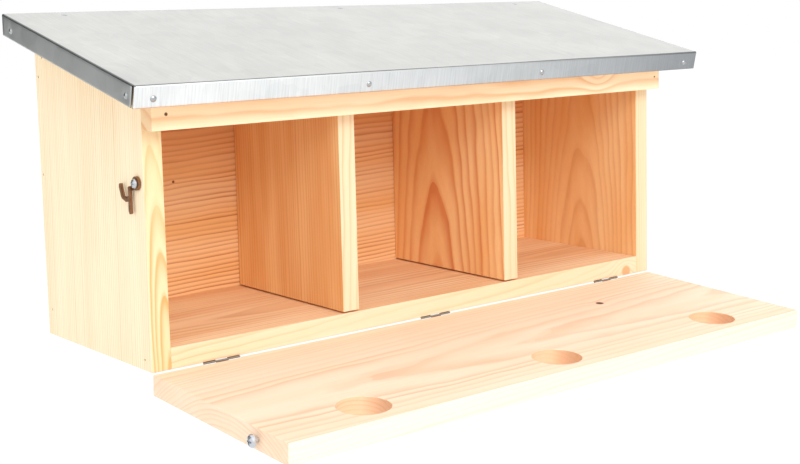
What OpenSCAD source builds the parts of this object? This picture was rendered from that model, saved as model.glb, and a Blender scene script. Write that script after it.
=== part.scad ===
// Sparrow nest box: three nests side by side behind one drop-down front flap, under a lean-to roof.
// The back face is the plane y = 0 and the front looks towards -y. The underside of the carcass is z = 0.
// The flap is drawn let down, and both hooks hang from their screws.

/* [Carcass] */
// Width over the two side panels
box_w = 460; // [400:1:640]
// Depth of the side panels, from front edge to back edge
box_d = 150; // [120:1:220]
// Height of the side panels at their front edge
side_front_h = 176.8; // [166:0.2:240]
// Thickness of the side panels
side_t = 13.5; // [10:0.5:20]
// Thickness of the back panel
back_t = 13.5; // [10:0.5:20]
// Thickness of the floor board
floor_t = 14; // [10:0.5:20]
// Thickness of the two dividers
divider_t = 13.5; // [10:0.5:20]
// Clear width of the middle nest
mid_nest_w = 137.5; // [110:0.5:180]
// Thickness of the lintel rail
lintel_t = 13.5; // [10:0.5:20]
// Height of the lintel rail, measured where it meets the side panels
lintel_h = 23.3; // [18.8:0.5:38.8]

/* [Roof] */
// Fall of the roof from back to front, in degrees
roof_pitch = 12.8; // [5:0.1:20]
// Thickness of the roof board
roof_board_t = 13.5; // [10:0.5:20]
// Thickness of the galvanised sheet
sheet_t = 0.5; // [0.4:0.1:1]
// Overhang of the roof past each side panel
roof_side_over = 21.5; // [12:0.5:40]
// Overhang of the roof past the side panels' front edges, along the slope
roof_front_over = 32.7; // [24:0.1:50]
// Height of the sheet's folded edges, measured square to the roof
fold_h = 14; // [10:0.5:20]
// Open slit between the folds at each front corner
corner_slit = 1.6; // [0.8:0.2:4]

/* [Flap] */
// Thickness of the front flap
flap_t = 13.5; // [11:0.5:20]
// Gap between the closed flap and the lintel rail above it
flap_top_gap = 0.7; // [0.4:0.1:3]
// Gap between the closed flap and the front edges of the carcass
flap_back_gap = 0.3; // [0.2:0.1:1]
// Opening angle of the flap as drawn, counted from closed
flap_open = 93.2; // [0:0.2:180]
// Diameter of the round entrances
entry_d = 34; // [28:0.5:40]
// Distance from the flap's upper edge down to the middle of the entrances
entry_below_top = 25.8; // [22:0.2:60]
// Spacing of the entrances, middle to middle
entry_pitch = 160; // [120:1:180]

/* [Hinges] */
// Width of one hinge along its pin
hinge_w = 27; // [20:1:40]
// Distance from the box's end to the middle of the outer hinges
hinge_inset = 50; // [40:1:90]
// Depth of a hinge leaf, from the pin to its far edge
leaf_d = 11; // [9:0.5:12]
// Thickness of a hinge leaf
leaf_t = 0.9; // [0.7:0.1:1.1]
// Outer radius of the rolled knuckles
knuckle_r = 1.5; // [1.4:0.1:2]
// Radius of the hinge pin
pin_r = 0.75; // [0.6:0.05:0.8]
// Running clearance between the pin and the knuckles, on the radius
pin_clear = 0.05; // [0.03:0.01:0.08]
// Gap beside a knuckle and around it
knuckle_gap = 0.3; // [0.2:0.05:0.4]
// Spacing of the two screws in a leaf
leaf_screw_pitch = 16; // [12:1:20]
// Length of the screws in the leaves
leaf_screw_l = 9; // [6:0.5:9.5]

/* [Hooks] */
// Height of the hook's pivot screw above the underside
pivot_z = 120; // [95:0.1:126]
// Distance of the pivot screw behind the side panel's front edge
pivot_in = 7.5; // [6:0.5:14]
// Height of the catch screw above the flap's lower edge
catch_h = 121.6; // [97:0.1:128]
// Radius of the pivot screw's shank
pivot_r = 1.8; // [1.5:0.1:2.2]
// Running clearance of the hook on its screw, on the radius
hook_clear = 0.05; // [0.03:0.01:0.08]
// Radius of the catch screw's shank
catch_r = 1.5; // [1.2:0.1:1.8]
// Outer radius of the hook's eye
eye_r = 4.2; // [3.8:0.1:5]
// Width of the hook's arm, finger and tail
hook_w = 2.3; // [2:0.1:2.6]
// Thickness of the hook
hook_t = 1.6; // [1.4:0.1:2.2]
// Step of the hook's outer end away from the panel
hook_step = 1.4; // [1:0.1:3]
// Room for the catch screw's shank in the hook's throat, on each side
throat_clear = 0.5; // [0.3:0.1:1]
// Length of the hook's tail beyond the throat
tail_l = 12.9; // [8:0.1:18]
// Height of the hook's finger beside the throat
finger_l = 6.6; // [4:0.1:8]
// Depth of the pivot screw in the side panel
pivot_bite = 11; // [8:0.5:12]
// Depth of the catch screw in the flap
catch_bite = 14; // [10:0.5:20]
// Radius of the pivot screw's head
pivot_head_r = 3.1; // [2.5:0.1:4]
// Radius of the catch screw's head
catch_head_r = 4; // [3:0.1:5]
// Gap between the hook's eye and the panel
hook_off = 0.3; // [0.2:0.1:0.6]
// Direction in which the hook's throat hangs, in degrees above straight back
hook_hang = -30; // [-80:1:0]

/* [Hanger plates] */
// Distance between the two hanging holes
hanger_pitch = 240; // [180:1:300]
// Height of the hanging holes above the underside
hanger_z = 188; // [150:1:190]
// Radius of a hanging hole
hanger_hole_r = 4; // [3:0.5:5]
// Width of a hanger plate
hanger_w = 18; // [16:1:24]
// Length of a hanger plate between its rounded ends' middles
hanger_l = 26; // [20:1:40]
// Thickness of a hanger plate
hanger_t = 1.5; // [1:0.1:2.5]
// Radius of the pocket behind a hanging hole, for the wall screw's head
hanger_pocket_r = 7; // [5:0.5:8]
// Depth of that pocket below the plate
hanger_pocket_d = 6; // [4:0.5:8]
// Length of the hanger plates' screws
hanger_screw_l = 11; // [8:0.5:12]

/* [Fasteners] */
// Radius of the brads
brad_r = 0.8; // [0.6:0.1:1]
// Length of the brads
brad_l = 28; // [22:1:34]
// Depth to which the brads are driven below the surface
brad_sink = 0.8; // [0.4:0.1:1.5]
// Radius of the roof nails' shanks
nail_r = 1.1; // [0.9:0.1:1.4]
// Length of the roof nails
nail_l = 30; // [24:1:36]
// Radius of the roof nails' heads
nail_head_r = 2.6; // [2:0.1:3.2]
// Radius of the round pin heads on the sheet
pin_head_r = 1.9; // [1.5:0.1:2.4]
// Radius of the sheet pins' shanks
sheet_pin_r = 0.7; // [0.6:0.1:0.9]
// Length of the sheet pins
sheet_pin_l = 11; // [8:1:12]
// Clearance of a fastener in its hole, on the radius
hole_clear = 0.05; // [0.03:0.01:0.08]

/* [Hidden] */
$fn = 48;
eps = 0.01;

inner_w = box_w - 2 * side_t;
half_w = box_w / 2;
front_y = -box_d;
divider_x = (mid_nest_w + divider_t) / 2;
lintel_front_y = front_y - lintel_t;
lintel_z = side_front_h - lintel_h;
flap_h = lintel_z - flap_top_gap;
flap_in_y = front_y - flap_back_gap;
axis_drop = knuckle_r - leaf_t;
hinge_x = half_w - hinge_inset;
hinge_places = [-hinge_x, 0, hinge_x];
knuckle_l = (hinge_w - 2 * knuckle_gap) / 3;
roof_half_w = half_w + roof_side_over;
roof_front_u = -roof_front_over;
pivot_y = front_y + pivot_in;

// Position of the closed flap's catch screw, seen from the hook's pivot
catch_dy = flap_in_y - flap_t / 2 - pivot_y;
catch_dz = catch_h - pivot_z;
hook_reach = sqrt(catch_dy * catch_dy + catch_dz * catch_dz);
head_gap = 0.3;
catch_neck = hook_off + hook_t + hook_step + head_gap;

// Side brads into the back panel: the distance from the back edge, then from the top or the underside
side_brads_top = [[4.2, 28.5], [11, 13.5]];
side_brads_low = [[3.9, 113.5], [6.9, 18.2]];
// The side brad into the floor, behind the front edge
floor_brad_in = 9.2;
// The lintel's nails: from its left and right end, and above its lower edge
lintel_nail_in = [10, 5.5];
lintel_nail_up = 10;
// The sheet's top nails: from the left end, the middle and the right end, and in front of the back edge
top_nail_in = [20, 24, 16];
top_nail_front = 7.7;
// The sheet's pins: from the front corners, along the sides, and below the sheet's top
front_pin_in = 13.2;
side_pin_front = 9.7;
side_pin_back = 12;
pin_down = 8.6;
// The roof board's nails: behind the side panels' front edges, and in front of the wall
roof_nail_front = 30;
roof_nail_back = 30;
// The dividers' brads: below the back panel's top and above the floor, and in from their front and back ends
back_brad_in = 45;
divider_brad_front = 40;
divider_brad_back = 30;
// Heads and edges that follow the sizes above
nail_head_h = 1;
screw_head_h = 1;
screw_head_r = 2.1;
screw_r = 1.1;
plate_screw_head_h = 1.4;
plate_screw_head_r = 2.6;
plate_screw_r = 1.4;
leaf_edge_gap = 0.1;
corner_over = 0.04;

pale_pine = "#f3dcb4";
warm_pine = "#e8b483";
zinc = "#c9cccd";
steel = "#9aa0a3";
bronze = "#9b6b47";

// A point in the side view, u up the slope and w square to the roof, from the top of a panel's front edge
function roof_pt(u, w) = [
    front_y + u * cos(roof_pitch) - w * sin(roof_pitch),
    side_front_h + u * sin(roof_pitch) + w * cos(roof_pitch)
];

// How far up the slope the wall plane lies at the height w above the roof board's underside
function wall_u(w) = (box_d + w * sin(roof_pitch)) / cos(roof_pitch);

// Height of the roof board's underside over a place y
function roof_under(y) = side_front_h + (y - front_y) * tan(roof_pitch);

// Draws a side view, y to the right and z up, and gives it a width along x
module along_x(width) {
    rotate([90, 0, 90]) linear_extrude(width, center = true) children();
}

// Puts its children on the roof plane, with z square to the roof
module on_roof(x, u, w) {
    translate([x, roof_pt(u, w)[0], roof_pt(u, w)[1]]) rotate([roof_pitch, 0, 0]) children();
}

// Turns the flap and all that is on it about the hinge axis, from closed to let down
module let_down() {
    translate([0, front_y, -axis_drop])
        rotate([flap_open, 0, 0])
            translate([0, -front_y, axis_drop]) children();
}

// Shank pointing down from the surface at z = 0, sunk a little
module brad_shape(extra) {
    translate([0, 0, -brad_l - brad_sink]) cylinder(r = brad_r + extra, h = brad_l);
}

// Hole for a brad, open at the surface
module brad_hole() {
    translate([0, 0, -brad_l - brad_sink]) cylinder(r = brad_r + hole_clear, h = brad_l + brad_sink + 1);
}

// Low domed head with its flat side on z = 0
module dome_head(r, h) {
    rotate_extrude() polygon([[0, 0], [r, 0], [r, h * 0.3], [r * 0.82, h * 0.68], [r * 0.5, h * 0.92], [0, h]]);
}

// Cross recess cut into a head from above
module cross_cut(r, depth, top) {
    bar = r * 0.28;
    translate([-r * 0.6, -bar / 2, top - depth]) cube([r * 1.2, bar, depth + 1]);
    translate([-bar / 2, -r * 0.6, top - depth]) cube([bar, r * 1.2, depth + 1]);
}

// Pan-head screw whose head sits at the height neck and whose shank runs down into the wood
module pan_screw(head_r, head_h, shank_r, neck, bite) {
    difference() {
        union() {
            translate([0, 0, neck]) dome_head(head_r, head_h);
            translate([0, 0, -bite]) cylinder(r = shank_r, h = bite + neck + eps);
        }
        cross_cut(head_r, head_h * 0.5, neck + head_h);
    }
}

// Countersunk screw, its head flush with z = 0
module flush_screw(head_r, shank_r, head_h, length, extra) {
    translate([0, 0, -head_h]) cylinder(r1 = shank_r + extra, r2 = head_r + extra, h = head_h);
    translate([0, 0, -length]) cylinder(r = shank_r + extra, h = length - head_h + eps);
}

// Places of the brads in one side panel, which are driven in along x
module at_side_brads(side) {
    for (p = side_brads_top)
        translate([side * half_w, -p[0], roof_under(-p[0]) - p[1]]) rotate([0, side * 90, 0]) children();
    for (p = side_brads_low)
        translate([side * half_w, -p[0], p[1]]) rotate([0, side * 90, 0]) children();
    translate([side * half_w, front_y + floor_brad_in, floor_t / 2]) rotate([0, side * 90, 0]) children();
}

// Places of the brads through the back panel, driven in towards -y
module at_back_brads() {
    top_z = roof_under(0) - back_brad_in;
    low_z = floor_t + back_brad_in;
    for (x = [-divider_x, divider_x], z = [low_z, (low_z + top_z) / 2, top_z])
        translate([x, 0, z]) rotate([-90, 0, 0]) children();
    for (x = [-divider_x - mid_nest_w / 2, -mid_nest_w / 4, mid_nest_w / 4, divider_x + mid_nest_w / 2])
        translate([x, 0, floor_t / 2]) rotate([-90, 0, 0]) children();
}

// Places of the brads up through the floor into the dividers
module at_divider_brads() {
    for (x = [-divider_x, divider_x], y = [front_y + divider_brad_front, -back_t - divider_brad_back])
        translate([x, y, 0]) rotate([180, 0, 0]) children();
}

// Places of the nails from the lintel rail into the side panels
module at_lintel_nails() {
    for (i = [0, 1])
        translate([(i == 0 ? -1 : 1) * (half_w - lintel_nail_in[i]), lintel_front_y, lintel_z + lintel_nail_up])
            rotate([90, 0, 0]) children();
}

// Places of the nails that hold the roof board, under the sheet
module at_roof_nails() {
    mid_side = half_w - side_t / 2;
    for (x = [-mid_side, -divider_x, divider_x, mid_side], along = [roof_nail_front, box_d - roof_nail_back])
        on_roof(x, along / cos(roof_pitch), roof_board_t) children();
}

// Places of the nails through the sheet along the roof's back edge
module at_top_nails() {
    for (x = [-half_w + top_nail_in[0], top_nail_in[1], half_w - top_nail_in[2]])
        on_roof(x, wall_u(roof_board_t) - top_nail_front, roof_board_t + sheet_t) children();
}

// Stands a top nail's shank plumb, so that it stays in the back panel
module plumb() {
    rotate([-roof_pitch, 0, 0]) children();
}

// Places of the pins in the front fold, pointing out of the fold
module at_front_pins() {
    span = 2 * (roof_half_w - front_pin_in);
    for (i = [0:3])
        on_roof(-span / 2 + i * span / 3, roof_front_u, roof_board_t + sheet_t - pin_down)
            rotate([90, 0, 0]) children();
}

// Places of the pins in one side fold, pointing out of the fold
module at_side_pins(side) {
    for (u = [roof_front_u + side_pin_front, wall_u(0) - side_pin_back])
        on_roof(side * roof_half_w, u, roof_board_t + sheet_t - pin_down) rotate([0, side * 90, 0]) children();
}

// Pin for the sheet: round head outside the face z = 0, shank inside
module sheet_pin(length, head_r, shank_r) {
    dome_head(head_r, head_r * 0.55);
    translate([0, 0, -length]) cylinder(r = shank_r, h = length + eps);
}

// Hole for such a pin
module sheet_pin_hole(length, shank_r) {
    translate([0, 0, -length - 1]) cylinder(r = shank_r + hole_clear, h = length + 2);
}

// Side view of a panel that stands between y0 and y1 on z0 and meets the roof
module under_roof(y0, y1, z0) {
    polygon([[y0, z0], [y1, z0], [y1, roof_under(y1)], [y0, roof_under(y0)]]);
}

module side_panel(side) {
    color(pale_pine) difference() {
        translate([side * (half_w - side_t / 2), 0, 0]) along_x(side_t) under_roof(front_y, 0, 0);
        at_side_brads(side) brad_hole();
        at_lintel_nails() brad_hole();
        at_roof_nails() sheet_pin_hole(nail_l, nail_r);
        translate([side * half_w, pivot_y, pivot_z]) rotate([0, side * 90, 0])
            translate([0, 0, -pivot_bite - 1]) cylinder(r = pivot_r + hole_clear, h = pivot_bite + 2);
    }
}

module left_side_panel() {
    side_panel(-1);
}

module right_side_panel() {
    side_panel(1);
}

module back_panel() {
    color(warm_pine) difference() {
        along_x(inner_w) under_roof(-back_t, 0, 0);
        at_side_brads(-1) brad_hole();
        at_side_brads(1) brad_hole();
        at_back_brads() brad_hole();
        at_top_nails() plumb() sheet_pin_hole(nail_l, nail_r);
        for (side = [-1, 1]) {
            hanger_outline(side, hanger_t, leaf_edge_gap, 1);
            at_hanger(side) translate([0, 0, -hanger_t - hanger_pocket_d])
                cylinder(r = hanger_pocket_r, h = hanger_pocket_d + eps);
            at_hanger_screws(side) flush_screw(plate_screw_head_r, plate_screw_r, plate_screw_head_h, hanger_screw_l + 1, hole_clear);
        }
    }
}

module floor_board() {
    color(pale_pine) difference() {
        translate([-inner_w / 2, front_y, 0]) cube([inner_w, box_d - back_t, floor_t]);
        at_side_brads(-1) brad_hole();
        at_side_brads(1) brad_hole();
        at_back_brads() brad_hole();
        at_divider_brads() brad_hole();
        for (x = hinge_places) {
            translate([x, 0, 0]) leaf_recess(1);
            translate([x, 0, 0]) at_leaf_screws(1) flush_screw(screw_head_r, screw_r, screw_head_h, leaf_screw_l + 1, hole_clear);
        }
    }
}

module divider(side) {
    color(warm_pine) difference() {
        translate([side * divider_x, 0, 0]) along_x(divider_t) under_roof(front_y, -back_t, floor_t);
        at_back_brads() brad_hole();
        at_divider_brads() brad_hole();
        at_roof_nails() sheet_pin_hole(nail_l, nail_r);
    }
}

module left_divider() {
    divider(-1);
}

module right_divider() {
    divider(1);
}

module lintel_rail() {
    color(pale_pine) difference() {
        along_x(box_w) under_roof(lintel_front_y, front_y, lintel_z);
        at_lintel_nails() brad_hole();
    }
}

module roof_board() {
    u0 = roof_front_u + sheet_t;
    color(pale_pine) difference() {
        along_x(2 * (roof_half_w - sheet_t)) polygon([
            roof_pt(u0, 0), roof_pt(wall_u(0), 0),
            roof_pt(wall_u(roof_board_t), roof_board_t), roof_pt(u0, roof_board_t)
        ]);
        at_roof_nails() {
            sheet_pin_hole(nail_l, nail_r);
            translate([0, 0, -nail_head_h]) cylinder(r = nail_head_r + hole_clear, h = nail_head_h + 1);
        }
        at_top_nails() plumb() sheet_pin_hole(nail_l, nail_r);
        at_front_pins() sheet_pin_hole(sheet_pin_l, sheet_pin_r);
        at_side_pins(-1) sheet_pin_hole(sheet_pin_l, sheet_pin_r);
        at_side_pins(1) sheet_pin_hole(sheet_pin_l, sheet_pin_r);
    }
}

// The sheet: flat top, front fold over the whole width, and a side fold at each end
module roof_sheet() {
    top_w = roof_board_t + sheet_t;
    low_w = top_w - fold_h;
    color(zinc) difference() {
        union() {
            along_x(2 * roof_half_w) polygon([
                roof_pt(roof_front_u, low_w), roof_pt(roof_front_u + sheet_t, low_w),
                roof_pt(roof_front_u + sheet_t, roof_board_t), roof_pt(wall_u(roof_board_t), roof_board_t),
                roof_pt(wall_u(top_w), top_w), roof_pt(roof_front_u, top_w)
            ]);
            for (side = [-1, 1])
                translate([side * (roof_half_w - sheet_t / 2), 0, 0]) along_x(sheet_t) polygon([
                    roof_pt(roof_front_u + corner_slit, low_w), roof_pt(wall_u(low_w), low_w),
                    roof_pt(wall_u(top_w), top_w), roof_pt(roof_front_u + corner_slit, top_w)
                ]);
        }
        at_top_nails() plumb() sheet_pin_hole(nail_l, nail_r);
        at_front_pins() sheet_pin_hole(sheet_pin_l, sheet_pin_r);
        at_side_pins(-1) sheet_pin_hole(sheet_pin_l, sheet_pin_r);
        at_side_pins(1) sheet_pin_hole(sheet_pin_l, sheet_pin_r);
    }
}

module front_fold_pins() {
    color(steel) at_front_pins() sheet_pin(sheet_pin_l, pin_head_r, sheet_pin_r);
}

module left_fold_pins() {
    color(steel) at_side_pins(-1) sheet_pin(sheet_pin_l, pin_head_r, sheet_pin_r);
}

module right_fold_pins() {
    color(steel) at_side_pins(1) sheet_pin(sheet_pin_l, pin_head_r, sheet_pin_r);
}

module roof_top_nails() {
    color(steel) at_top_nails() {
        dome_head(nail_head_r, nail_head_r * 0.5);
        plumb() translate([0, 0, -nail_l]) cylinder(r = nail_r, h = nail_l + 0.3);
    }
}

module roof_board_nails() {
    color(steel) at_roof_nails() {
        translate([0, 0, -nail_head_h]) cylinder(r = nail_head_r, h = nail_head_h);
        translate([0, 0, -nail_l]) cylinder(r = nail_r, h = nail_l - nail_head_h + eps);
    }
}

module left_side_brads() {
    color(steel) at_side_brads(-1) brad_shape(0);
}

module right_side_brads() {
    color(steel) at_side_brads(1) brad_shape(0);
}

module lintel_nails() {
    color(steel) at_lintel_nails() brad_shape(0);
}

module back_panel_brads() {
    color(steel) at_back_brads() brad_shape(0);
}

module divider_floor_brads() {
    color(steel) at_divider_brads() brad_shape(0);
}

module front_flap() {
    color(pale_pine) let_down() difference() {
        translate([-half_w, flap_in_y - flap_t, 0]) cube([box_w, flap_t, flap_h]);
        for (x = [-entry_pitch, 0, entry_pitch])
            translate([x, flap_in_y + 1, flap_h - entry_below_top])
                rotate([90, 0, 0]) cylinder(d = entry_d, h = flap_t + 2, $fn = 96);
        for (x = hinge_places) {
            translate([x, 0, 0]) leaf_recess(-1);
            translate([x, 0, 0]) at_leaf_screws(-1) flush_screw(screw_head_r, screw_r, screw_head_h, leaf_screw_l + 1, hole_clear);
        }
        for (side = [-1, 1])
            at_catch(side) translate([0, 0, -catch_bite - 1])
                cylinder(r = catch_r + hole_clear, h = catch_bite + 2);
    }
}

// Recess for a hinge leaf, to the back of the pin for the box (dir = 1) and to its front for the flap
module leaf_recess(dir) {
    wide = hinge_w + 2 * leaf_edge_gap;
    translate([-wide / 2, front_y, -1]) scale([1, dir, 1]) cube([wide, leaf_d + leaf_edge_gap, leaf_t + 1]);
    translate([0, front_y, -axis_drop]) rotate([0, 90, 0])
        cylinder(r = knuckle_r + knuckle_gap, h = wide, center = true);
}

// Places of the two screws in a leaf, heads towards -z
module at_leaf_screws(dir) {
    for (x = [-1, 1])
        translate([x * leaf_screw_pitch / 2, front_y + dir * leaf_d * 0.62, 0]) rotate([180, 0, 0]) children();
}

// One leaf with its knuckles, rolled about the pin. The box's leaf has the outer two, the flap's the middle one.
module leaf(dir) {
    outer = dir > 0;
    color(steel) difference() {
        union() {
            translate([-hinge_w / 2, front_y, 0]) scale([1, dir, 1]) cube([hinge_w, leaf_d, leaf_t]);
            for (i = outer ? [-1, 1] : [0])
                translate([i * (knuckle_l + knuckle_gap), front_y, -axis_drop]) rotate([0, 90, 0])
                    cylinder(r = knuckle_r, h = knuckle_l, center = true);
        }
        for (i = outer ? [0] : [-1, 1])
            translate([i * (knuckle_l + knuckle_gap), front_y, -axis_drop]) rotate([0, 90, 0])
                cylinder(r = knuckle_r + knuckle_gap, h = knuckle_l + 2 * knuckle_gap, center = true);
        translate([0, front_y, -axis_drop]) rotate([0, 90, 0])
            cylinder(r = pin_r + pin_clear, h = hinge_w + 2, center = true);
        at_leaf_screws(dir) flush_screw(screw_head_r, screw_r, screw_head_h, leaf_screw_l + 1, hole_clear);
    }
}

module hinge_pin(x) {
    color(steel) translate([x, front_y, -axis_drop]) rotate([0, 90, 0])
        cylinder(r = pin_r, h = hinge_w, center = true);
}

module box_leaf(x) {
    translate([x, 0, 0]) leaf(1);
}

module flap_leaf(x) {
    let_down() translate([x, 0, 0]) leaf(-1);
}

module left_hinge_box_leaf() {
    box_leaf(-hinge_x);
}

module left_hinge_flap_leaf() {
    flap_leaf(-hinge_x);
}

module left_hinge_pin() {
    hinge_pin(-hinge_x);
}

module middle_hinge_box_leaf() {
    box_leaf(0);
}

module middle_hinge_flap_leaf() {
    flap_leaf(0);
}

module middle_hinge_pin() {
    hinge_pin(0);
}

module right_hinge_box_leaf() {
    box_leaf(hinge_x);
}

module right_hinge_flap_leaf() {
    flap_leaf(hinge_x);
}

module right_hinge_pin() {
    hinge_pin(hinge_x);
}

module hinge_box_screws() {
    color(steel) for (x = hinge_places)
        translate([x, 0, 0]) at_leaf_screws(1) flush_screw(screw_head_r, screw_r, screw_head_h, leaf_screw_l, 0);
}

module hinge_flap_screws() {
    color(steel) let_down() for (x = hinge_places)
        translate([x, 0, 0]) at_leaf_screws(-1) flush_screw(screw_head_r, screw_r, screw_head_h, leaf_screw_l, 0);
}

// One straight stretch of the hook between two points
module stretch(a, b) {
    d = b - a;
    translate([a[0], a[1], 0]) rotate([0, 0, atan2(d[1], d[0])])
        translate([0, -hook_w / 2, 0]) cube([norm(d), hook_w, hook_t]);
}

// Round end or corner of the hook, a hair wider than its stretches
module corner(p, thick) {
    translate([p[0], p[1], 0]) cylinder(r = hook_w / 2 + corner_over, h = thick);
}

// The hook lying flat: its eye on the origin, the middle of its throat at the distance hook_reach along x.
// The finger stands outside the circle on which the catch screw comes in, and the tail points away from it.
module hook_flat() {
    way = catch_r + throat_clear + hook_w / 2;
    knee = [hook_reach / 2, 0];
    fork = [hook_reach - way - 1.3, -way - 1.9];
    turn = [hook_reach + 0.4, -way - 1];
    bend = [hook_reach + way + 0.2, -0.8];
    tip = [hook_reach + way - 0.9, finger_l];
    tail = [hook_reach - 0.2, -tail_l];
    difference() {
        union() {
            cylinder(r = eye_r, h = hook_t);
            stretch([0, 0], knee);
            corner(knee, hook_t + hook_step);
            translate([0, 0, hook_step]) {
                stretch(knee, fork);
                stretch(fork, turn);
                stretch(turn, bend);
                stretch(bend, tip);
                stretch(fork, tail);
                for (p = [fork, turn, bend, tip, tail])
                    corner(p, hook_t);
            }
        }
        translate([0, 0, -1]) cylinder(r = pivot_r + hook_clear, h = hook_t + 2);
    }
}

// Stands the hook up beside the left or right panel, hanging from its pivot
module hook(side) {
    color(bronze) translate([side * (half_w + hook_off), pivot_y, pivot_z])
        rotate([hook_hang, 0, 0]) mirror([side < 0 ? 1 : 0, 0, 0])
            rotate([90, 0, 90]) hook_flat();
}

module left_hook() {
    hook(-1);
}

module right_hook() {
    hook(1);
}

module hook_screw(side) {
    color(steel) translate([side * half_w, pivot_y, pivot_z]) rotate([0, side * 90, 0])
        pan_screw(pivot_head_r, 2.2, pivot_r, hook_off + hook_t + head_gap, pivot_bite);
}

module left_hook_screw() {
    hook_screw(-1);
}

module right_hook_screw() {
    hook_screw(1);
}

// Place of a catch screw in the end of the closed flap, pointing out of the flap
module at_catch(side) {
    translate([side * half_w, flap_in_y - flap_t / 2, catch_h]) rotate([0, side * 90, 0]) children();
}

module catch_screw(side) {
    color(steel) let_down() at_catch(side) pan_screw(catch_head_r, 2.6, catch_r, catch_neck, catch_bite);
}

module left_catch_screw() {
    catch_screw(-1);
}

module right_catch_screw() {
    catch_screw(1);
}

// Place of a hanging hole on the wall plane, z pointing at the wall
module at_hanger(side) {
    translate([side * hanger_pitch / 2, 0, hanger_z]) rotate([-90, 0, 0]) children();
}

// Places of the two screws in a hanger plate
module at_hanger_screws(side) {
    for (i = [0.45, 1])
        at_hanger(side) translate([0, i * hanger_l, 0]) children();
}

// Outline of a hanger plate, from the wall plane inwards
module hanger_outline(side, depth, grow, out) {
    r = hanger_w / 2 + grow;
    at_hanger(side) translate([0, 0, -depth]) {
        cylinder(r = r, h = depth + out);
        translate([-r, 0, 0]) cube([2 * r, hanger_l, depth + out]);
        translate([0, hanger_l, 0]) cylinder(r = r, h = depth + out);
    }
}

module hanger_plate(side) {
    color(zinc) difference() {
        hanger_outline(side, hanger_t, 0, 0);
        at_hanger(side) translate([0, 0, -hanger_t - 1]) cylinder(r = hanger_hole_r, h = hanger_t + 2);
        at_hanger_screws(side) flush_screw(plate_screw_head_r, plate_screw_r, plate_screw_head_h, hanger_screw_l + 1, hole_clear);
    }
}

module left_hanger_plate() {
    hanger_plate(-1);
}

module right_hanger_plate() {
    hanger_plate(1);
}

module hanger_screws() {
    color(steel) for (side = [-1, 1])
        at_hanger_screws(side) flush_screw(plate_screw_head_r, plate_screw_r, plate_screw_head_h, hanger_screw_l, 0);
}

left_side_panel();
right_side_panel();
back_panel();
floor_board();
left_divider();
right_divider();
lintel_rail();
roof_board();
roof_sheet();
front_fold_pins();
left_fold_pins();
right_fold_pins();
roof_top_nails();
roof_board_nails();
left_side_brads();
right_side_brads();
lintel_nails();
back_panel_brads();
divider_floor_brads();
front_flap();
left_hinge_box_leaf();
left_hinge_flap_leaf();
left_hinge_pin();
middle_hinge_box_leaf();
middle_hinge_flap_leaf();
middle_hinge_pin();
right_hinge_box_leaf();
right_hinge_flap_leaf();
right_hinge_pin();
hinge_box_screws();
hinge_flap_screws();
left_hook();
right_hook();
left_hook_screw();
right_hook_screw();
left_catch_screw();
right_catch_screw();
left_hanger_plate();
right_hanger_plate();
hanger_screws();
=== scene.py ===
"""A nest box for three pairs of sparrows, seen with its front let down: pine boards nailed up,
a galvanised sheet over the roof, a hinged front and a bronzed hook at each end that holds it shut."""
import math

import bmesh
import bpy
from mathutils import Matrix, Vector


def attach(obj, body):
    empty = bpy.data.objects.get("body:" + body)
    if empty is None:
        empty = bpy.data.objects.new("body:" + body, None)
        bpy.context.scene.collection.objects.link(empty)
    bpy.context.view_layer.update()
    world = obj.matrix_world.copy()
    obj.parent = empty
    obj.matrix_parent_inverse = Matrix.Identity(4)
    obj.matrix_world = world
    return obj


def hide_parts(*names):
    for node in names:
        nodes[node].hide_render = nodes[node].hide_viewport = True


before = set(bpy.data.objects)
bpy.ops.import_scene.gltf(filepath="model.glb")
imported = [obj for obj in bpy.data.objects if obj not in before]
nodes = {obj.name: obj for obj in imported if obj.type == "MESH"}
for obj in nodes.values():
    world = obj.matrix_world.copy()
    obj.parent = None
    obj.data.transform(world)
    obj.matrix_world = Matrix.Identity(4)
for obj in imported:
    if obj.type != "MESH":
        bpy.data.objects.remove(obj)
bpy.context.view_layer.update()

mm = 0.001

# Floor board
# A planed board of untreated Scots pine, sawn flat from near the heart, so its top shows long streaks
# and its front edge fine straight lines. The sides, the back and the dividers are nailed round and on
# it, and its arrises were taken off with a stroke of sandpaper.


def srgb(code):
    """A hex colour as the linear values that a shader takes."""
    parts = [int(code[i:i + 2], 16) / 255 for i in (1, 3, 5)]
    return tuple(p / 12.92 if p <= 0.04045 else ((p + 0.055) / 1.055) ** 2.4 for p in parts) + (1.0,)


def add(tree, kind, sockets=None, stops=(), **settings):
    """Adds a shader node with its settings, sets or links its sockets, and gives its outputs."""
    node = tree.nodes.new("ShaderNode" + kind)
    for key, value in settings.items():
        setattr(node, key, value)
    for key, value in (sockets or {}).items():
        if isinstance(value, bpy.types.NodeSocket):
            tree.links.new(value, node.inputs[key])
        else:
            node.inputs[key].default_value = value
    for i, (place, colour) in enumerate(stops):
        stop = node.color_ramp.elements[i] if i < 2 else node.color_ramp.elements.new(place)
        stop.position, stop.color = place, colour
    return node.outputs


def grey(value):
    """A grey as the shader takes it."""
    return (value, value, value, 1.0)


def new_material(name):
    """An empty material, and its node tree."""
    material = bpy.data.materials.new(name)
    material.use_nodes = True
    material.node_tree.nodes.clear()
    return material, material.node_tree


def per_mm(across, along):
    """The scale that makes a pattern this many mm wide across the grain and long along it."""
    return (1 / across, 1 / across, 1 / along)


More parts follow.
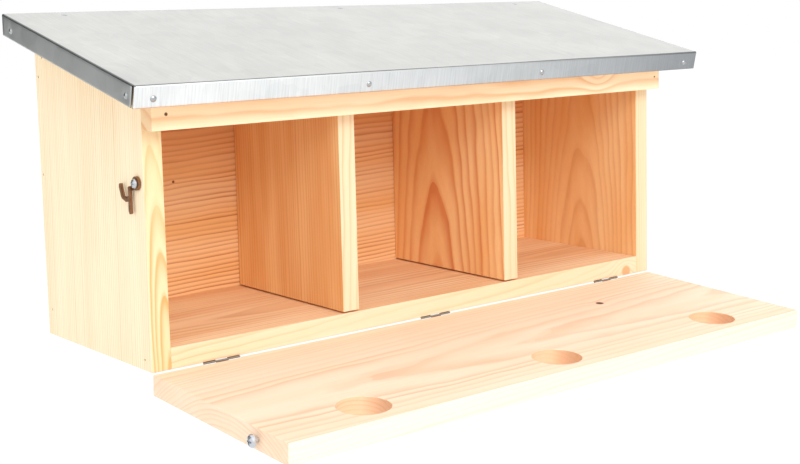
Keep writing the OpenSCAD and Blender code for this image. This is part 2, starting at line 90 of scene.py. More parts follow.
def ring_radius(tree, log, ring, sway):
    """A point's distance from the pith in mm, which wanders and ripples as in a grown trunk."""
    across = add(tree, "Mapping", {"Vector": log, "Scale": (1, 1, 0)})[0]
    radius = add(tree, "VectorMath", {0: across}, operation="LENGTH")[1]
    slow = add(tree, "Mapping", {"Vector": log, "Scale": per_mm(62.5, 250)})[0]
    wander = add(tree, "TexNoise", {"Vector": slow, "Scale": 1.0, "Detail": 2.0})[0]
    radius = add(tree, "Math", {0: wander, 1: 2 * sway, 2: radius}, operation="MULTIPLY_ADD")[0]
    quick = add(tree, "Mapping", {"Vector": log, "Scale": per_mm(12.5, 35.7)})[0]
    ripple = add(tree, "TexNoise", {"Vector": quick, "Scale": 1.0, "Detail": 1.0})[0]
    return add(tree, "Math", {0: ripple, 1: 0.5 * ring, 2: radius}, operation="MULTIPLY_ADD")[0]


def round_knot(tree, place, radius, knot):
    """Swells the rings round a knot, given by its place and its radius in mm and by how far it
    lifts the rings. Gives the new radius and the knot's own area."""
    x, y, z, size, lift = knot
    near = add(tree, "Mapping", {"Vector": place["Object"], "Location": (x * mm, y * mm, z * mm),
                                 "Scale": (size * mm, size * mm, size * mm)}, vector_type="TEXTURE")[0]
    away = add(tree, "VectorMath", {0: near}, operation="LENGTH")[1]
    fall = add(tree, "Math", {0: away, 1: away}, operation="MULTIPLY")[0]
    fall = add(tree, "Math", {0: fall, 1: -0.12}, operation="MULTIPLY")[0]
    swell = add(tree, "Math", {0: fall}, operation="EXPONENT")[0]
    radius = add(tree, "Math", {0: swell, 1: lift, 2: radius}, operation="MULTIPLY_ADD")[0]
    area = add(tree, "MapRange", {"Value": away, "From Min": 1.15, "From Max": 0.75})[0]
    return radius, area


def summer_wood(tree, radius, ring, uneven, band, contrast):
    """How much of a point is dark summer wood. It gathers over band of each year's width and then
    breaks off, and no two years are alike in width or in depth."""
    years = add(tree, "Math", {0: radius, 1: 1 / ring}, operation="MULTIPLY")[0]
    spread = add(tree, "TexNoise", {"W": years, "Scale": 0.31, "Detail": 1.0}, noise_dimensions="1D")[0]
    years = add(tree, "Math", {0: spread, 1: uneven, 2: years}, operation="MULTIPLY_ADD")[0]
    year = add(tree, "Math", {0: years}, operation="FLOOR")[0]
    season = add(tree, "Math", {0: years}, operation="FRACT")[0]
    dense = add(tree, "TexWhiteNoise", {"W": year}, noise_dimensions="1D")[0]
    dense = add(tree, "MapRange", {"Value": dense, "To Min": 0.4 * contrast, "To Max": contrast})[0]
    growth = add(tree, "ValToRGB", {"Fac": season}, stops=(
        (0.0, grey(0.6)), (0.45 * band, grey(0.0)), (1 - 1.8 * band, grey(0.04)),
        (1 - 0.9 * band, grey(0.5)), (1 - 0.35 * band, grey(1.0))))[0]
    return add(tree, "Math", {0: growth, 1: dense}, operation="MULTIPLY")[0]


def pine(name, pith, grain, ring, sway=3.0, early="#FBDBA6", late="#C0702E", heart="#F3C487",
         contrast=1.0, uneven=0.9, band=0.22, end_grain="#D9A66C", heartwood_and_painted_shade=None, knots=(),
         knot_colour="#5E3620"):
    """Planed pine. Its rings are tubes round the log's pith, so a board's faces show lines, arches
    or curves by how it was sawn: pith is a point on that line in mm, grain its direction, ring a
    year's growth in mm, sway how far the rings wander in mm. The years go from pale spring wood to
    amber summer wood. Fibres and pores give the dull, dry sheen, and the sawn ends are darker.
    heartwood_and_painted_shade is the radius in mm and the colour of a darker core round the pith: heartwood,
    which also stands in as painted shade."""
    material, tree = new_material(name)
    place = add(tree, "TexCoord")
    turn = Vector(grain).to_track_quat("Z", "Y").to_euler()
    log = add(tree, "Mapping", {"Vector": place["Object"], "Location": [mm * p for p in pith],
                                "Rotation": turn, "Scale": (mm, mm, mm)}, vector_type="TEXTURE")[0]
    radius = ring_radius(tree, log, ring, sway)
    knotty = None
    for knot in knots:
        radius, area = round_knot(tree, place, radius, knot)
        knotty = area if knotty is None else add(tree, "Math", {0: knotty, 1: area}, operation="MAXIMUM")[0]
    summer = summer_wood(tree, radius, ring, uneven, band, contrast)
    # the lines fade and gather again over some 40 mm
    loose = add(tree, "Mapping", {"Vector": log, "Scale": per_mm(40, 166.7), "Location": (5, 3, 1)})[0]
    fade = add(tree, "TexNoise", {"Vector": loose, "Scale": 1.0, "Detail": 2.0})[0]
    fade = add(tree, "MapRange", {"Value": fade, "From Min": 0.35, "From Max": 0.6, "To Min": 0.45})[0]
    summer = add(tree, "Math", {0: summer, 1: fade}, operation="MULTIPLY")[0]
    # fibres of about 0.5 mm, drawn coarser than real tracheids so that they show
    fine = add(tree, "Mapping", {"Vector": log, "Scale": per_mm(0.5263, 28.57)})[0]
    fibre = add(tree, "TexNoise", {"Vector": fine, "Scale": 1.0, "Detail": 3.0, "Roughness": 0.6})[0]
    # warmer patches of about 22 mm by 200 mm
    broad = add(tree, "Mapping", {"Vector": log, "Scale": per_mm(22.22, 200)})[0]
    patch = add(tree, "TexNoise", {"Vector": broad, "Scale": 1.0, "Detail": 2.0})[0]
    patch = add(tree, "MapRange", {"Value": patch, "From Min": 0.35, "From Max": 0.7})[0]
    wood = add(tree, "Mix", {0: patch, 6: srgb(early), 7: srgb(heart)}, data_type="RGBA")[2]
    # the darker core is heartwood, and where it is used it is also painted shade
    if heartwood_and_painted_shade:
        core_radius, core_and_shade_colour = heartwood_and_painted_shade
        core_blur = 22
        inner = add(tree, "MapRange", {"Value": radius, "From Min": core_radius - core_blur,
                                       "From Max": core_radius + core_blur, "To Min": 1.0, "To Max": 0.0})[0]
        wood = add(tree, "Mix", {0: inner, 6: wood, 7: srgb(core_and_shade_colour)}, data_type="RGBA")[2]
    wood = add(tree, "Mix", {0: summer, 6: wood, 7: srgb(late)}, data_type="RGBA")[2]
    if knotty is not None:
        wood = add(tree, "Mix", {0: knotty, 6: wood, 7: srgb(knot_colour)}, data_type="RGBA")[2]
    # end grain drinks the light: it is darker and duller than the sides of the fibres
    facing = add(tree, "VectorMath", {0: place["Normal"], 1: Vector(grain).normalized()},
                 operation="DOT_PRODUCT")[1]
    facing = add(tree, "Math", {0: facing}, operation="ABSOLUTE")[0]
    end = add(tree, "MapRange", {"Value": facing, "From Min": 0.55, "From Max": 1.0})[0]
    end = add(tree, "Math", {0: end, 1: 0.35}, operation="MULTIPLY")[0]
    wood = add(tree, "Mix", {0: end, 6: wood, 7: srgb(end_grain)}, data_type="RGBA")[2]
    value = add(tree, "MapRange", {"Value": fibre, "From Min": 0.25, "From Max": 0.75,
                                   "To Min": 0.95, "To Max": 1.04})[0]
    wood = add(tree, "HueSaturation", {"Color": wood, "Value": value})[0]
    rough = add(tree, "MapRange", {"Value": summer, "To Min": 0.68, "To Max": 0.54})[0]
    relief = add(tree, "Math", {0: summer, 1: 0.6, 2: fibre}, operation="MULTIPLY_ADD")[0]
    normal = add(tree, "Bump", {"Height": relief, "Strength": 0.35, "Distance": 0.08 * mm})[0]
    surface = add(tree, "BsdfPrincipled", {"Base Color": wood, "Roughness": rough, "Normal": normal,
                                           "IOR": 1.48})[0]
    add(tree, "OutputMaterial", {"Surface": surface})
    return material


def place_piece(name, mesh, node, body):
    """Puts a finished mesh in the scene for a CAD node, hides the node, and gives the mesh its body."""
    piece = bpy.data.objects.new(name, mesh)
    bpy.context.scene.collection.objects.link(piece)
    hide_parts(node)
    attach(piece, body)
    return piece


def eased_board(node, material, body="box", ease=0.4 * mm):
    """A CAD board with its long arrises eased, in its own wood."""
    form = bmesh.new()
    form.from_mesh(nodes[node].data)
    bmesh.ops.remove_doubles(form, verts=form.verts, dist=0.001 * mm)
    bmesh.ops.dissolve_limit(form, angle_limit=math.radians(1), verts=form.verts, edges=form.edges)
    # the facets of a curve meet at a blunter angle and have shorter edges than an arris
    shortest = 0.6 * mm
    bluntest = math.radians(40)
    arrises = [e for e in form.edges if len(e.link_faces) == 2 and e.calc_length() > shortest
               and e.calc_face_angle() > bluntest]
    bmesh.ops.bevel(form, geom=arrises, offset=ease, segments=2, profile=0.5, affect="EDGES", material=-1)
    mesh = bpy.data.meshes.new(node + "_planed")
    form.to_mesh(mesh)
    form.free()
    mesh.shade_smooth()
    mesh.set_sharp_from_angle(angle=math.radians(20))
    # broad sawn faces are flat right up to their arrises
    broad = 60 * mm * mm
    for face in mesh.polygons:
        if face.area > broad:
            face.use_smooth = False
    mesh.materials.clear()
    mesh.materials.append(material)
    return place_piece(node + "_planed", mesh, node, body)


def face_wood(board, material, way=(0, -1, 0), past=140 * mm):
    """Gives the faces that look one way, and lie past a distance that way, a wood of their own."""
    board.data.materials.append(material)
    for face in board.data.polygons:
        if face.normal.dot(Vector(way)) > 0.9 and face.center.dot(Vector(way)) > past:
            face.material_index = len(board.data.materials) - 1


# the floor's top is painted darker and more orange than the boards outside, as shade inside the nests
floor_pine_shaded = pine("planed_pine_floor", pith=(0, -95, -22), grain=(1, 0.015, 0.012), ring=3.2, sway=5.0,
                  early="#F5D7B1", late="#B98250", heart="#E9BD90", contrast=0.6, band=0.3)
floor_board = eased_board("floor_board", floor_pine_shaded)
# its front edge is paler sapwood, with a small knot at its lower right corner
face_wood(floor_board, pine("sapwood_pine_floor_edge", pith=(0, -60, 40), grain=(1, 0.02, 0.015), ring=2.2,
                            early="#EED9BA", late="#DBB684", heart="#ECD4AE", contrast=0.8,
                            knots=((204, -150, 3, 5.0, 5.0),), knot_colour="#D9A878"))

# Back panel
# One wide board with its grain level, sawn so that its rings stand nearly square to its face low
# down and lie flat across its upper middle. It is nailed in between the sides, and takes the hanger
# plates from behind.
# the inside face is painted darker and more orange than the face to the wall, as shade inside the nests; its
# darker core at the top is heartwood and also painted shade under the lintel and roof
back_pine_shaded_inside = pine("planed_pine_back", pith=(0, 96, 212), grain=(1, 0, 0.03), ring=2.9, sway=2.5,
                 contrast=0.8, band=0.3, early="#F8D6A8", late="#B45A1E", heartwood_and_painted_shade=(136, "#CC8644"),
                 knots=((-135, -13.5, 99.7, 1.1, 0.3),), knot_colour="#8A4E28")
back_panel = eased_board("back_panel", back_pine_shaded_inside)
# the face to the wall has paler wood, without the painted shade of the inside face
back_outside = pine("planed_pine_back_outside", pith=(0, -130, 300), grain=(1, 0, 0.02), ring=2.9,
                    contrast=0.6, early="#F7DCB0", late="#C98A4C", heart="#F2CE9A")
face_wood(back_panel, back_outside, way=(0, 1, 0), past=-5 * mm)

# Side panels
# Two boards with upright grain that carry everything else. Their faces are nearly rift sawn, with
# fine straight lines outside; their narrow front edges cut the rings flat and show long waves.
pale = {"early": "#FAEACA", "late": "#DAB078", "heart": "#F8E1BE"}
left_pine = pine("planed_pine_left_side", pith=(-236, -172, 0), grain=(0.03, -0.03, 1), ring=2.6, sway=1.5,
                 contrast=0.8, **pale)
left_side = eased_board("left_side_panel", left_pine)
left_edge = pine("flame_pine_left_edge", pith=(-217, -160, 0), grain=(-0.05, -0.05, 1), ring=1.7,
                 sway=2.0, uneven=1.4, band=0.35, early="#EBD5AA", late="#D09A4C", heart="#E8CE9C")
face_wood(left_side, left_edge)
# its inside face is painted darker and more orange than its outside, as shade inside the right nest
right_pine_shaded_inside = pine("planed_pine_right_side", pith=(246, -84, 0), grain=(0.08, 0, 1), ring=4.6, sway=8.0,
                  uneven=1.2, contrast=0.34, band=0.3, early="#F7D5A0", late="#C46420", heart="#EFBE80")
right_side = eased_board("right_side_panel", right_pine_shaded_inside)
edge_pine = pine("sapwood_pine_edges", pith=(0, 20, 0), grain=(0.012, 0.01, 1), ring=2.6, contrast=0.7,
                 early="#EBD5B2", late="#D4AE78", heart="#E7CFA8")
face_wood(right_side, edge_pine)
# the outer face of the right side is as pale as the left one's
right_outside = pine("planed_pine_right_outside", pith=(236, -172, 0), grain=(-0.03, -0.03, 1),
                     ring=2.6, sway=1.5, contrast=0.6, **pale)
face_wood(right_side, right_outside, way=(1, 0, 0), past=225 * mm)

# Dividers
# Two more boards with upright grain, which part the box into three nests and are nailed through the
# floor and the back. The left one shows close straight lines, the right one was sawn flat and shows
# tall arches.
# both dividers are painted darker and more orange than the boards outside, as shade inside the nests
left_divider_pine_shaded = pine("planed_pine_left_divider", pith=(-75, 60, 0), grain=(0.01, 0.01, 1), ring=3.2,
                         sway=1.5, contrast=0.55, early="#F4CE96", late="#BA6A2A", heart="#E5AC70")
right_divider_pine_shaded = pine("planed_pine_right_divider", pith=(98, -68, 0), grain=(0.1, 0.01, 1), ring=7.0,
                          sway=5.0, uneven=1.2, contrast=0.7, band=0.3, early="#F9D8A2", late="#CC601E")
# sawn a little short, so a dark line shows under each and behind it
short_below = 1.1 * mm
short_behind = 0.5 * mm
near_floor = 14.5 * mm
near_back = -14 * mm
for node, wood in (("left_divider", left_divider_pine_shaded), ("right_divider", right_divider_pine_shaded)):
    divider = eased_board(node, wood)
    face_wood(divider, edge_pine)
    for point in divider.data.vertices:
        if point.co.z < near_floor:
            point.co.z += short_below
        if point.co.y > near_back:
            point.co.y -= short_behind

# Lintel rail
# A narrow rail nailed over the ends of the sides, under the roof. Its face shows a few broad waves
# that swing round a knot near its right end, and its sawn ends show the rings themselves.
lintel_knots = ((159, -163, 173.5, 5.0, 14.0), (-220, -163.5, 163.5, 1.2, 0.0))
lintel_pine = pine("planed_pine_lintel", pith=(0, -128, 120), grain=(1, 0.01, 0.006), ring=8.0, sway=5.0,
                   contrast=0.9, band=0.3, knots=lintel_knots, knot_colour="#8A5028",
                   early="#F8E5C4", late="#E2A86E", heart="#F7DDB6")
eased_board("lintel_rail", lintel_pine)

# Roof board
# A wide planed board that carries the sheet and is nailed down on the sides and the lintel rail.
# Only its underside and its back edge are seen. It was sawn short of the folds, so that the slits
# at the sheet's front corners look into the dark.
roof_pine = pine("planed_pine_roof", pith=(0, -60, 260), grain=(1, 0.02, 0), ring=3.0, **pale)
roof_end = 250 * mm
roof_short = 2.4 * mm
for point in eased_board("roof_board", roof_pine).data.vertices:
    if abs(point.co.x) > roof_end:
        point.co.x -= math.copysign(roof_short, point.co.x)

# Galvanised sheet
# One piece of 0.5 mm hot-dip galvanised steel, folded down over the board's front and both ends,
# with an open slit at each front corner. The pins and nails that hold it have drawn shallow dents.

# the sheet is laid out flat and then folded; its lengths are in mm, over the roof board's underside
# and up the slope from the box's front
roof_pitch = math.radians(12.8)
box_depth = 150.0
eaves_z = 176.8
sheet_half = 251.5
sheet_front = -32.7
sheet_top = 14.0
sheet_gauge = 0.5
fold_depth = 14.0
bend = 1.1
bend_run = bend * math.pi / 2
corner_slit = 2.6
pin_drop = 8.6
# how far the outermost pins and the nails stay from the sheet's edges
front_pin_inset = 13.2
side_pin_inset = 9.7
wall_pin_inset = 12
nail_inset = 7.7
dent_depth = 0.45
dent_width = 3.0
wave_height = 0.12
# a full wave is 2 pi times these: about 195 mm by 145 mm
wave_across = 31
wave_up = 23


def on_roof(x, up_slope, height):
    """A point over the roof board's underside, in the object's own frame."""
    return mm * Vector((x, -box_depth + up_slope * math.cos(roof_pitch) - height * math.sin(roof_pitch),
                        eaves_z + up_slope * math.sin(roof_pitch) + height * math.cos(roof_pitch)))


def wall_reach(height):
    """How far up the slope the wall lies at a height over the roof board's underside."""
    return (box_depth + height * math.sin(roof_pitch)) / math.cos(roof_pitch)


def folded(run, edge):
    """Where a point of the flat sheet lands after the fold: how far out, how far down, how turned."""
    over = run - (edge - bend)
    if over <= 0:
        return run, 0.0, 0.0
    if over < bend_run:
        return edge - bend + bend * math.sin(over / bend), bend * (1 - math.cos(over / bend)), over / bend
    return edge, bend + over - bend_run, math.pi / 2


def spaced(low, high, step, marks, fine=0.8, reach=4.5):
    """Grid lines from low to high, closer near the marks."""
    lines, at = [low], low
    while at < high - 0.3 * fine:
        near = any(abs(at - m) < reach for m in marks)
        ahead = [m - reach for m in marks if m - reach > at]
        at += fine if near else min([step] + [max(fine, a - at) for a in ahead])
        lines.append(min(at, high))
    return lines


# the pins and nails, placed on the flat sheet
flat = sheet_half - bend
drop_run = pin_drop - bend + bend_run - bend
pin_out = sheet_half + drop_run
pin_reach = sheet_half - front_pin_inset
front_pins = [i * 2 * pin_reach / 3 - pin_reach for i in range(4)]
side_pins = [sheet_front + side_pin_inset, wall_reach(0) - wall_pin_inset]
top_nails = [(x, wall_reach(sheet_top) - nail_inset) for x in (-210.0, 24.0, 214.0)]
dents = [(x, sheet_front - drop_run) for x in front_pins]
dents += [(side * pin_out, v) for side in (-1, 1) for v in side_pins] + top_nails
# the grid: coarse on the top, finer on the folds, finest in the bends and at the dents
coarse = 7.0
on_fold = 2.0
arc = [bend_run * i / 4 for i in range(5)]
columns = spaced(-flat, flat, coarse, [x for x, v in dents if abs(x) < flat])
side_run = flat + bend_run + fold_depth - bend
outer = [flat + a for a in arc[1:]] + spaced(flat + bend_run, side_run, on_fold, [pin_out])[1:]
columns = [-c for c in reversed(outer)] + columns + outer
lip = [sheet_front + bend - a for a in reversed(arc)]
front_low = lip[0] - (fold_depth - bend)
up_marks = [v for x, v in dents if v > 0] + side_pins
rows = spaced(front_low, lip[0], on_fold, [sheet_front - drop_run])[:-1] + lip
rows += spaced(sheet_front + corner_slit, wall_reach(sheet_top), coarse, up_marks)
sheet_form = bmesh.new()
bmesh.ops.create_grid(sheet_form, x_segments=len(columns) - 1, y_segments=len(rows) - 1, size=1.0)


def cell(place):
    """A place on the grid as its column and its row."""
    return (place.x + 1) / 2 * (len(columns) - 1), (place.y + 1) / 2 * (len(rows) - 1)


# the corners are notched out, so that the folds don't meet
spare = []
for face in sheet_form.faces:
    i, j = cell(face.calc_center_median())
    run = abs(columns[int(i)] + columns[int(i) + 1]) / 2
    if run > sheet_half and (rows[int(j)] + rows[int(j) + 1]) / 2 < sheet_front + corner_slit:
        spare.append(face)
bmesh.ops.delete(sheet_form, geom=spare, context="FACES")
cells = {face: cell(face.calc_center_median()) for face in sheet_form.faces}
wall_near = wall_reach(0) - 7
for point in sheet_form.verts:
    i, j = (round(n) for n in cell(point.co))
    p, v = columns[i], rows[j]
    if v < sheet_front + corner_slit - 0.01:
        out, side_fall, side_turn = min(abs(p), sheet_half), 0.0, 0.0
        reach, front_fall, front_turn = folded(-v, -sheet_front)
        slope = -reach
    else:
        out, side_fall, side_turn = folded(abs(p), sheet_half)
        front_fall, front_turn, slope = 0.0, 0.0, v
    level = math.cos(side_turn) * math.cos(front_turn)
    dent = dent_depth * sum(math.exp(-((p - a) ** 2 + (v - b) ** 2) / dent_width ** 2) for a, b in dents)
    wave = wave_height * (1 + math.sin(p / wave_across + 1.3) * math.sin(v / wave_up + 0.4)) * level
    lift = wave - dent
    side = 1 if p > 0 else -1
    height = sheet_top - side_fall - front_fall + lift * level
    if slope > wall_near:
        # cut off in one plane at the wall
        slope = wall_near + (slope - wall_near) * (wall_reach(height) - wall_near) / (rows[-1] - wall_near)
    point.co = on_roof(side * (out + lift * math.sin(side_turn)), slope - lift * math.sin(front_turn), height)
# the top of each bend is painted dark as a painted reflection, and the front one is painted bright below that
# as a painted highlight
open_top, painted_dark_bend, painted_bright_bend, front_face, side_face, cut_edge = range(6)
for face in sheet_form.faces:
    i, j = (int(n) for n in cells[face])
    across = abs(columns[i] + columns[i + 1]) / 2
    along = (rows[j] + rows[j + 1]) / 2
    if 0 < across - flat < bend_run and along > sheet_front:
        face.material_index = painted_dark_bend
    elif 0 < lip[-1] - along < bend_run:
        face.material_index = painted_dark_bend if lip[-1] - along < bend_run / 2 else painted_bright_bend
    elif along < sheet_front:
        face.material_index = front_face
    elif across > flat:
        face.material_index = side_face
    else:
        face.material_index = open_top
bmesh.ops.recalc_face_normals(sheet_form, faces=sheet_form.faces)
middle = max(sheet_form.faces, key=lambda f: f.calc_area())
if middle.normal.z < 0:
    bmesh.ops.reverse_faces(sheet_form, faces=sheet_form.faces)
sheet_mesh = bpy.data.meshes.new("galvanised_roof_sheet")
sheet_form.to_mesh(sheet_mesh)
sheet_form.free()
sheet_mesh.shade_smooth()
roof_sheet = place_piece("galvanised_roof_sheet", sheet_mesh, "roof_sheet", "box")
gauge = roof_sheet.modifiers.new("gauge", "SOLIDIFY")
gauge.thickness = sheet_gauge * mm
gauge.offset = -1.0
gauge.use_even_offset = True
gauge.material_offset_rim = cut_edge


def zinc(name, colour, rough, streak=0.0, patchy=1.0, right_end_painted_shade=None):
    """Hot-dip zinc: a soft grey metal whose crystals show as faint patches about 12 mm wide, with
    fine roller streaks that run up the slope and on down the front fold. right_end_painted_shade is
    the colour that it darkens to towards the right-hand end, a painted shade of the duller reflection there."""
    material, tree = new_material(name)
    place = add(tree, "TexCoord")["Object"]
    crystal = add(tree, "TexVoronoi", {"Vector": place, "Scale": 1 / (12 * mm)})["Color"]
    crystal = add(tree, "SeparateColor", {0: crystal})[0]
    cloud = add(tree, "TexNoise", {"Vector": place, "Scale": 1 / (45 * mm), "Detail": 4.0})[0]
    streak_size = (1 / (1.1 * mm), 1 / (30 * mm), 1 / (30 * mm))
    drawn = add(tree, "Mapping", {"Vector": place, "Scale": streak_size})[0]
    lines = add(tree, "TexNoise", {"Vector": drawn, "Scale": 1.0, "Detail": 3.0})[0]
    value = add(tree, "Math", {0: crystal, 1: 0.08 * patchy, 2: 1 - 0.19 * patchy - 0.5 * streak},
                operation="MULTIPLY_ADD")[0]
    value = add(tree, "Math", {0: cloud, 1: 0.3 * patchy, 2: value}, operation="MULTIPLY_ADD")[0]
    value = add(tree, "Math", {0: lines, 1: streak, 2: value}, operation="MULTIPLY_ADD")[0]
    skin = srgb(colour)
    if right_end_painted_shade:
        along = add(tree, "SeparateXYZ", {0: place})[0]
        along = add(tree, "MapRange", {"Value": along, "From Min": -170 * mm, "From Max": 250 * mm})[0]
        skin = add(tree, "Mix", {0: along, 6: skin, 7: srgb(right_end_painted_shade)}, data_type="RGBA")[2]
    skin = add(tree, "HueSaturation", {"Color": skin, "Value": value})[0]
    dull = add(tree, "Math", {0: crystal, 1: 0.05, 2: rough}, operation="MULTIPLY_ADD")[0]
    dull = add(tree, "Math", {0: cloud, 1: 0.12, 2: dull}, operation="MULTIPLY_ADD")[0]
    normal = add(tree, "Bump", {"Height": lines, "Strength": 0.12, "Distance": 0.05 * mm})[0]
    surface = add(tree, "BsdfPrincipled", {"Base Color": skin, "Metallic": 1.0, "Roughness": dull,
                                           "Normal": normal})[0]
    add(tree, "OutputMaterial", {"Surface": surface})
    return material


# in the order of the finishes named above; the sheared edge shows bare, dark steel
# the front fold's zinc is near-white, a painted highlight of the bright front it faces, and it and the front
# bend darken towards the right as painted shade
for skin in (zinc("hot_dip_galvanised_steel", "#C1C1BE", 0.3, streak=0.25, patchy=1.25),
             zinc("zinc_painted_dark_reflection_at_bends", "#7C807E", 0.35, streak=0.3),
             zinc("zinc_painted_highlight_at_front_bend", "#FAFBFB", 0.25, right_end_painted_shade="#7A7D80"),
             zinc("rolled_zinc_front_fold_painted_bright", "#EFF3F4", 0.28, streak=0.4, patchy=0.6, right_end_painted_shade="#9A9DA0"),
             zinc("galvanised_side_folds", "#BBBEBC", 0.3, streak=0.25, patchy=1.4),
             zinc("cut_edge_of_sheet", "#333434", 0.5)):
    sheet_mesh.materials.append(skin)

# Nails, pins and brads
# Galvanised clout nails through the sheet's back edge, small round-headed pins in its folds, and
# headless steel brads set just under the wood's face. All were driven with an air gun or a hammer.


def dress(material, *names):
    """Gives CAD pieces that keep their own shape their material."""
    for name in names:
        mesh = nodes[name].data
        if mesh.materials:
            for i in range(len(mesh.materials)):
                mesh.materials[i] = material
        else:
            mesh.materials.append(material)


nail_zinc = zinc("galvanised_nail_steel", "#B4B8BA", 0.14)
dress(nail_zinc, "roof_board_nails")


def driven(name, node, places, head, height, shank, depth):
    """Round-headed nails in one piece: each head and shank is a profile spun round its own line.
    head and shank are radii in mm, height is the head's and depth the length in the wood."""
    form = bmesh.new()
    profile = [(0, height), (head * 0.4, height * 0.93), (head * 0.75, height * 0.62),
               (head * 0.97, height * 0.2), (head, 0.02), (head * 0.94, -0.15), (shank, -0.25),
               (shank, 1.5 * shank - depth), (0, -depth)]
    skew = Vector((1.0, 0.37, 7.3))
    for at, out in places:
        nail = bmesh.new()
        points = [nail.verts.new((mm * r, 0, mm * z)) for r, z in profile]
        edges = [nail.edges.new(pair) for pair in zip(points, points[1:])]
        bmesh.ops.spin(nail, geom=points + edges, axis=(0, 0, 1), cent=(0, 0, 0), angle=2 * math.pi, steps=20,
                       use_merge=True)
        bmesh.ops.remove_doubles(nail, verts=nail.verts, dist=0.001 * mm)
        bmesh.ops.recalc_face_normals(nail, faces=nail.faces)
        # spin lists them in another order each run, so they are sorted along skew, where no two lie level
        nail.verts.sort(key=lambda v: v.co.dot(skew))
        nail.faces.sort(key=lambda f: f.calc_center_median().dot(skew))
        stand = Matrix.Translation(at) @ out.to_track_quat("Z", "Y").to_matrix().to_4x4()
        bmesh.ops.transform(nail, verts=nail.verts, matrix=stand)
        made = bpy.data.meshes.new("nail")
        nail.to_mesh(made)
        nail.free()
        form.from_mesh(made)
        bpy.data.meshes.remove(made)
    mesh = bpy.data.meshes.new(name)
    form.to_mesh(mesh)
    form.free()
    mesh.shade_smooth()
    mesh.materials.append(nail_zinc)
    place_piece(name, mesh, node, "box")


up_slope = (on_roof(0, 1, 0) - on_roof(0, 0, 0)).normalized()
off_roof = (on_roof(0, 0, 1) - on_roof(0, 0, 0)).normalized()
pin_height = sheet_top - pin_drop
# the pins stand a little into their dents
pin_seat = 0.4
pin = {"head": 2.2, "height": 1.3, "shank": 0.7, "depth": 11.0}
driven("front_fold_drive_pins", "front_fold_pins",
       [(on_roof(x, sheet_front + pin_seat, pin_height), -up_slope) for x in front_pins], **pin)
for side, sign in (("left", -1), ("right", 1)):
    driven(side + "_fold_drive_pins", side + "_fold_pins",
           [(on_roof(sign * (sheet_half - pin_seat), v, pin_height), Vector((sign, 0, 0)))
            for v in side_pins], **pin)
nail_seat = 0.25
driven("roof_top_clout_nails", "roof_top_nails",
       [(on_roof(x, v, sheet_top - nail_seat), off_roof) for x, v in top_nails],
       head=2.7, height=0.9, shank=1.1, depth=26.0)
dress(zinc("bright_brad_steel", "#77726C", 0.4), "left_side_brads", "right_side_brads", "lintel_nails",
      "back_panel_brads", "divider_floor_brads")

# Front flap
# A wide board with level grain that hangs on three hinges and closes all three nests. The round
# entrances were bored with a saw-toothed bit and left rough.
flap_log = {"pith": (0, -232, -105), "grain": (1, 0.02, 0.02), "ring": 3.0, "uneven": 1.4}
flap_pine = pine("planed_pine_flap", contrast=0.75, band=0.3, early="#FBDAC2", late="#E6A67E",
                 heart="#F9D1B4", end_grain="#EEDCBC", knots=((123, -198, -4.0, 3.2, 1.5),),
                 knot_colour="#4E2E1A", **flap_log)
# the entrances' walls are rough bored wood with darker end grain, and are also painted darker as shade inside
# the holes
bored_pine_painted_shade = pine("bored_pine_flap", contrast=0.5, early="#F2C8A2", late="#D99A6C", heart="#EEBC92",
                  end_grain="#9A5A30", **flap_log)
flap = eased_board("front_flap", flap_pine, body="flap")
flap_edge = pine("sapwood_pine_flap_edge", pith=(0, -260, 20), grain=(1, 0.015, 0.01), ring=2.4,
                 early="#EFEAD0", late="#E6D8AE", heart="#EEE6C8", contrast=0.7)
face_wood(flap, flap_edge, past=290 * mm)
flap.data.materials.append(bored_pine_painted_shade)
bored = len(flap.data.materials) - 1
# the flap hangs a little below level, so the entrances' axes lean as much
flap_turn = math.radians(3.2)
bore_axis = Vector((0, math.sin(flap_turn), math.cos(flap_turn)))
near_bore = 17.2 * mm
entrances = [mm * Vector((x, -277.0, -14.8)) for x in (-160, 0, 160)]
for face in flap.data.polygons:
    for entrance in entrances:
        arm = face.center - entrance
        arm -= arm.dot(bore_axis) * bore_axis
        if arm.length < near_bore and abs(face.normal.dot(bore_axis)) < 0.3:
            face.material_index = bored

# Hinges
# Three small butt hinges let in under the floor board and behind the flap: rolled steel leaves with
# a dull dark finish, steel pins and countersunk screws.
hinge_steel = zinc("dull_hinge_steel", "#9A968C", 0.42)
dress(hinge_steel, "hinge_box_screws", "hinge_flap_screws")
hinge_line = Vector((0, -150, -0.6)) * mm
knuckle_reach = 1.62 * mm
knuckle_shrink = 0.58
# the box's leaf shows only as a thin bar, and the floor board's wood comes down close over it
near_front = -149 * mm
bar_top = 0.2 * mm
wood_drop = 0.65 * mm
recess_low = 0.5 * mm
recess_high = 1.3 * mm
for side in ("left", "middle", "right"):
    for part, body in (("box_leaf", "box"), ("flap_leaf", "flap"), ("pin", "box")):
        leaf = eased_board(f"{side}_hinge_{part}", hinge_steel, body=body, ease=0.12 * mm)
        for point in leaf.data.vertices:
            arm = point.co - hinge_line
            arm.x = 0
            if arm.length < knuckle_reach:
                # the knuckles are rolled small and close round the pin
                point.co -= knuckle_shrink * arm
            elif part == "box_leaf" and point.co.y < near_front and point.co.z > bar_top:
                point.co.z = bar_top
for point in floor_board.data.vertices:
    if point.co.y < near_front and recess_low < point.co.z < recess_high:
        point.co.z -= wood_drop

# Hooks and their screws
# At each end a stamped steel hook with a thin bronze plating turns on a pan-head screw, and drops
# over a zinc-plated screw in the flap's end.


